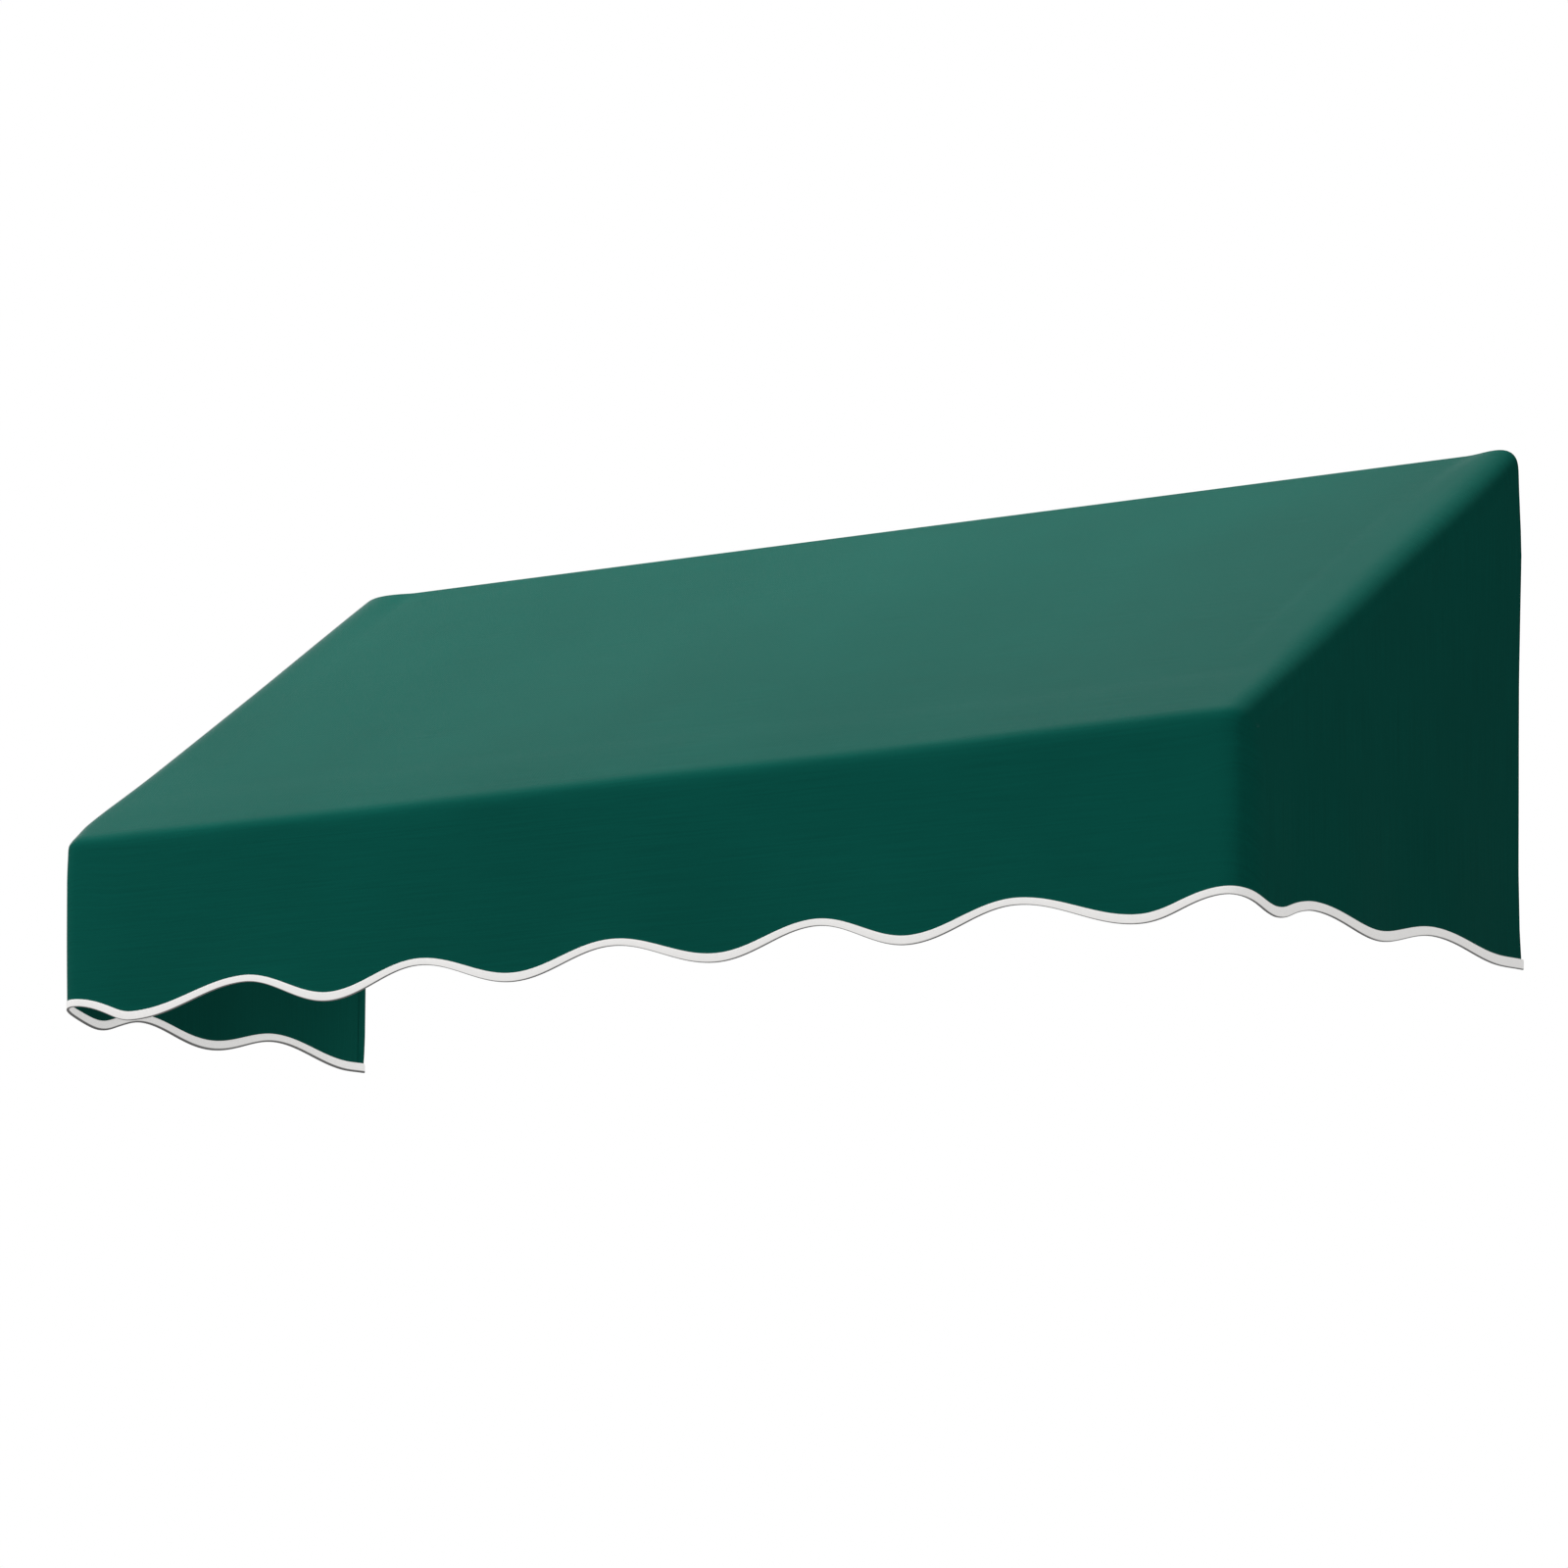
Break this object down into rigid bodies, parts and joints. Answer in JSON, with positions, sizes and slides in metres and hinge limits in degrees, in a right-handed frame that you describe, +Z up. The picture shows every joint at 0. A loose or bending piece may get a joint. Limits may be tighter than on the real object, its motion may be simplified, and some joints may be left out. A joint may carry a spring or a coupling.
{
  "type": "window awning",
  "caption": "Fixed window awning with closed sides: a cloth cover with a wavy taped hem, sewn round a frame of round tube in cast slip fittings with wall plates.",
  "frame": {"origin": "on the wall face of the middle head bracket, midway between its two screw holes", "axes": "+X across the window, to the right of someone who faces the wall, along its length; +Y into the wall; +Z up; the awning reaches out along -Y"},
  "size_m": [1.6418, 0.5729, 0.587],
  "materials": {
    "awning_cloth": "woven, matt, green",
    "sleeve_cloth": "woven, matt, green",
    "binding_tape": "woven tape, matt, off-white",
    "tube_aluminium": "mill finish, drawn",
    "cast_aluminium": "cast, tumbled",
    "screw_steel": "zinc plated"
  },
  "bodies": {
    "root": {"cover": "awning_cloth", "side_panel_left": "awning_cloth", "side_panel_right": "awning_cloth", "hem_binding": "binding_tape", "head_sleeve_left": "sleeve_cloth", "head_sleeve_right": "sleeve_cloth", "front_sleeve_left": "sleeve_cloth", "front_sleeve_right": "sleeve_cloth", "post_sleeve_left": "sleeve_cloth", "post_sleeve_right": "sleeve_cloth", "head_rail": "tube_aluminium", "front_bar": "tube_aluminium", "rafter_left": "tube_aluminium", "rafter_middle": "tube_aluminium", "rafter_right": "tube_aluminium", "side_arm_left": "tube_aluminium", "side_arm_right": "tube_aluminium", "wall_post_left": "tube_aluminium", "wall_post_right": "tube_aluminium", "front_corner_left": "cast_aluminium", "front_corner_right": "cast_aluminium", "head_corner_left": "cast_aluminium", "head_corner_right": "cast_aluminium", "foot_corner_left": "cast_aluminium", "foot_corner_right": "cast_aluminium", "head_bracket": "cast_aluminium", "front_tee": "cast_aluminium", "front_corner_left_screw_1": "screw_steel", "front_corner_left_screw_2": "screw_steel", "front_corner_left_screw_3": "screw_steel", "front_corner_right_screw_1": "screw_steel", "front_corner_right_screw_2": "screw_steel", "front_corner_right_screw_3": "screw_steel", "head_corner_left_screw_1": "screw_steel", "head_corner_left_screw_2": "screw_steel", "head_corner_left_screw_3": "screw_steel", "head_corner_right_screw_1": "screw_steel", "head_corner_right_screw_2": "screw_steel", "head_corner_right_screw_3": "screw_steel", "foot_corner_left_screw_1": "screw_steel", "foot_corner_left_screw_2": "screw_steel", "foot_corner_right_screw_1": "screw_steel", "foot_corner_right_screw_2": "screw_steel", "head_bracket_screw_1": "screw_steel", "head_bracket_screw_2": "screw_steel", "front_tee_screw_1": "screw_steel", "front_tee_screw_2": "screw_steel"}
  },
  "joints": []
}
